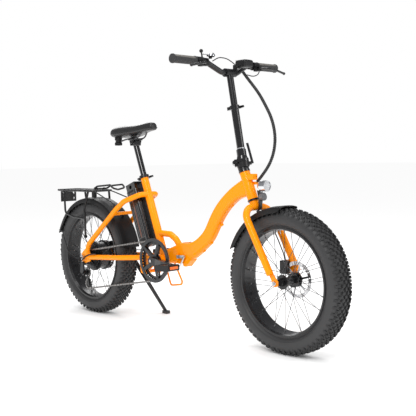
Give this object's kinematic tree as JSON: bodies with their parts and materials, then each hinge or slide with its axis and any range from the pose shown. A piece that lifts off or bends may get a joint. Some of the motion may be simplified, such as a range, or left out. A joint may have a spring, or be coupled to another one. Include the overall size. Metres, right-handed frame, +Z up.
{
  "type": "folding electric bicycle",
  "caption": "Low-step folding electric bicycle with fat tyres, mudguards, a rear carrier, a seat-tube battery and a hinged beam and handlepost.",
  "frame": {"origin": "on the ground under the middle of the overall box", "axes": "+X forward, +Y the rider's left, +Z up"},
  "size_m": [1.793, 0.584, 1.1765],
  "materials": {
    "frame_paint": "glossy orange powder coat",
    "black_paint": "satin black",
    "tyre_rubber": "matte moulded rubber",
    "grip_rubber": "matte rubber",
    "silver": "brushed",
    "steel": "bright steel wire",
    "black_alloy": "black anodised",
    "black_plastic": "moulded",
    "battery_case": "gloss black",
    "saddle_cover": "black synthetic leather",
    "lamp_chrome": "chromed reflector behind a clear lens",
    "red_lens": "clear red",
    "chain_steel": "oiled steel",
    "cable_black": "spiral wrap"
  },
  "bodies": {
    "rear_frame": {"seat_tube_frame": "frame_paint", "rear_stays": "frame_paint", "hinge_rear_block": "frame_paint", "rear_mudguard": "black_plastic", "rear_rack": "black_paint", "tail_light": "red_lens", "frame_fittings": "black_paint", "rear_axle": "steel", "rear_caliper": "black_alloy", "derailleur_body": "black_alloy", "chain": "chain_steel"},
    "front_frame": {"main_beam": "frame_paint", "headset_cups": "black_alloy", "hinge_front_block": "frame_paint", "cable_sleeve_low": "cable_black"},
    "steer": {"fork": "frame_paint", "front_mudguard": "black_plastic", "headlight": "lamp_chrome", "front_caliper": "black_alloy", "front_axle": "steel", "stem_base": "black_alloy", "cable_sleeve_mid": "cable_black"},
    "front_wheel": {"front_tyre": "tyre_rubber", "front_rim": "black_alloy", "front_spokes": "steel", "front_hub": "black_alloy", "front_rotor": "steel"},
    "handlepost": {"handlepost": "black_alloy", "cable_sleeve_top": "cable_black"},
    "bar": {"handlebar": "black_alloy", "grips": "grip_rubber", "bar_clamps": "black_plastic", "display": "black_plastic"},
    "left_brake_lever": {"left_brake_lever": "black_alloy"},
    "right_brake_lever": {"right_brake_lever": "black_alloy"},
    "shifter_lever": {"shifter_lever": "black_plastic"},
    "bell_lever": {"bell_lever": "steel"},
    "stem_latch_lever": {"stem_latch_lever": "black_alloy"},
    "post_clamp_lever": {"post_clamp_lever": "black_alloy"},
    "hinge_latch_lever": {"hinge_latch_lever": "silver"},
    "seat_clamp_lever": {"seat_clamp_lever": "black_alloy"},
    "seat_post": {"seat_post": "silver", "saddle": "saddle_cover"},
    "battery": {"battery_pack": "battery_case"},
    "rack_clip": {"rack_clip": "black_paint"},
    "kickstand": {"kickstand": "black_alloy"},
    "crank": {"chainring": "black_alloy", "chain_guard": "black_alloy", "crank_arms": "black_alloy"},
    "right_pedal": {"right_pedal": "black_plastic"},
    "left_pedal": {"left_pedal": "black_plastic"},
    "rear_wheel": {"rear_tyre": "tyre_rubber", "rear_rim": "black_alloy", "rear_spokes": "steel", "hub_motor": "black_alloy", "rear_rotor": "steel"},
    "freewheel": {"freewheel": "chain_steel"},
    "derailleur_cage": {"derailleur_cage": "black_alloy"},
    "upper_jockey": {"upper_jockey_wheel": "black_plastic"},
    "lower_jockey": {"lower_jockey_wheel": "black_plastic"}
  },
  "joints": [
    {"name": "frame_fold", "type": "hinge", "parent": "rear_frame", "child": "front_frame", "pos_m": [0.042, 0.025, 0.344], "axis": [0, 0, 1], "range_deg": [0, 150]},
    {"name": "steer", "type": "hinge", "parent": "front_frame", "child": "steer", "pos_m": [0.424, 0, 0.631], "axis": [-0.3811, 0, 0.9245], "range_deg": [-55, 55]},
    {"name": "front_wheel_spin", "type": "hinge", "parent": "steer", "child": "front_wheel", "pos_m": [0.6175, 0, 0.279], "axis": [0, 1, 0], "continuous": true},
    {"name": "stem_fold", "type": "hinge", "parent": "steer", "child": "handlepost", "pos_m": [0.36558, -0.02425, 0.72958], "axis": [0.7009, -0.7009, 0.1324], "range_deg": [0, 155], "deforming": ["cable_sleeve_mid"]},
    {"name": "bar_height", "type": "slide", "parent": "handlepost", "child": "bar", "axis": [-0.1857, 0, 0.9826], "range_m": [-0.115, 0], "deforming": ["cable_sleeve_top"]},
    {"name": "left_brake", "type": "hinge", "parent": "bar", "child": "left_brake_lever", "pos_m": [0.342, 0.158, 1.118], "axis": [0, 0, 1], "range_deg": [0, 20], "stiffness_Nm_per_rad": 1.5},
    {"name": "right_brake", "type": "hinge", "parent": "bar", "child": "right_brake_lever", "pos_m": [0.342, -0.158, 1.118], "axis": [0, 0, -1], "range_deg": [0, 20], "stiffness_Nm_per_rad": 1.5},
    {"name": "gear_lever", "type": "hinge", "parent": "bar", "child": "shifter_lever", "pos_m": [0.306, 0, 1.129], "axis": [0, 1, 0], "range_deg": [-25, 25]},
    {"name": "bell_striker", "type": "hinge", "parent": "bar", "child": "bell_lever", "pos_m": [0.331, -0.129, 1.151], "axis": [0, 0, 1], "range_deg": [0, 30], "stiffness_Nm_per_rad": 0.02},
    {"name": "stem_latch", "type": "hinge", "parent": "steer", "child": "stem_latch_lever", "pos_m": [0.41202, 0.02211, 0.72919], "axis": [-0.7009, 0.7009, -0.1324], "range_deg": [0, 100]},
    {"name": "post_clamp", "type": "hinge", "parent": "handlepost", "child": "post_clamp_lever", "pos_m": [0.32334, 0.026, 0.94919], "axis": [-0.1857, 0, 0.9826], "range_deg": [0, 100]},
    {"name": "hinge_latch", "type": "hinge", "parent": "rear_frame", "child": "hinge_latch_lever", "pos_m": [0.018, -0.028, 0.327], "axis": [0, 0, -1], "range_deg": [0, 100]},
    {"name": "seat_clamp_cam", "type": "hinge", "parent": "rear_frame", "child": "seat_clamp_lever", "pos_m": [-0.26272, 0.027, 0.6598], "axis": [-0.3518, 0, 0.9361], "range_deg": [0, 100]},
    {"name": "seat_height", "type": "slide", "parent": "rear_frame", "child": "seat_post", "axis": [-0.3518, 0, 0.9361], "range_m": [-0.12, 0.03]},
    {"name": "battery_removal", "type": "slide", "parent": "rear_frame", "child": "battery", "axis": [-0.3518, 0, 0.9361], "range_m": [0, 0.12]},
    {"name": "clip_lift", "type": "hinge", "parent": "rear_frame", "child": "rack_clip", "pos_m": [-0.577, 0, 0.61], "axis": [0, -1, 0], "range_deg": [0, 95], "stiffness_Nm_per_rad": 0.3},
    {"name": "stand_fold", "type": "hinge", "parent": "rear_frame", "child": "kickstand", "pos_m": [-0.44, 0.084, 0.258], "axis": [-0.2186, 0.9758, 0], "range_deg": [0, 110]},
    {"name": "crank_spin", "type": "hinge", "parent": "rear_frame", "child": "crank", "pos_m": [-0.098, 0, 0.304], "axis": [0, 1, 0], "continuous": true},
    {"name": "right_pedal_spin", "type": "hinge", "parent": "crank", "child": "right_pedal", "pos_m": [0.07177, 0, 0.2951], "axis": [0, 1, 0], "continuous": true},
    {"name": "left_pedal_spin", "type": "hinge", "parent": "crank", "child": "left_pedal", "pos_m": [-0.26777, 0, 0.3129], "axis": [0, 1, 0], "continuous": true},
    {"name": "rear_wheel_spin", "type": "hinge", "parent": "rear_frame", "child": "rear_wheel", "pos_m": [-0.6175, 0, 0.279], "axis": [0, 1, 0], "continuous": true},
    {"name": "freewheel_spin", "type": "hinge", "parent": "rear_frame", "child": "freewheel", "pos_m": [-0.6175, 0, 0.279], "axis": [0, 1, 0], "continuous": true},
    {"name": "cage_swing", "type": "hinge", "parent": "rear_frame", "child": "derailleur_cage", "pos_m": [-0.622, 0, 0.201], "axis": [0, 1, 0], "range_deg": [-12, 12], "stiffness_Nm_per_rad": 1},
    {"name": "upper_jockey_spin", "type": "hinge", "parent": "derailleur_cage", "child": "upper_jockey", "pos_m": [-0.622, 0, 0.201], "axis": [0, 1, 0], "continuous": true},
    {"name": "lower_jockey_spin", "type": "hinge", "parent": "derailleur_cage", "child": "lower_jockey", "pos_m": [-0.608, 0, 0.146], "axis": [0, 1, 0], "continuous": true}
  ],
  "couplings": [
    {"joint": "freewheel_spin", "follows": "crank_spin", "ratio": 3.1429},
    {"joint": "lower_jockey_spin", "follows": "crank_spin", "ratio": 4},
    {"joint": "upper_jockey_spin", "follows": "crank_spin", "ratio": -4}
  ]
}
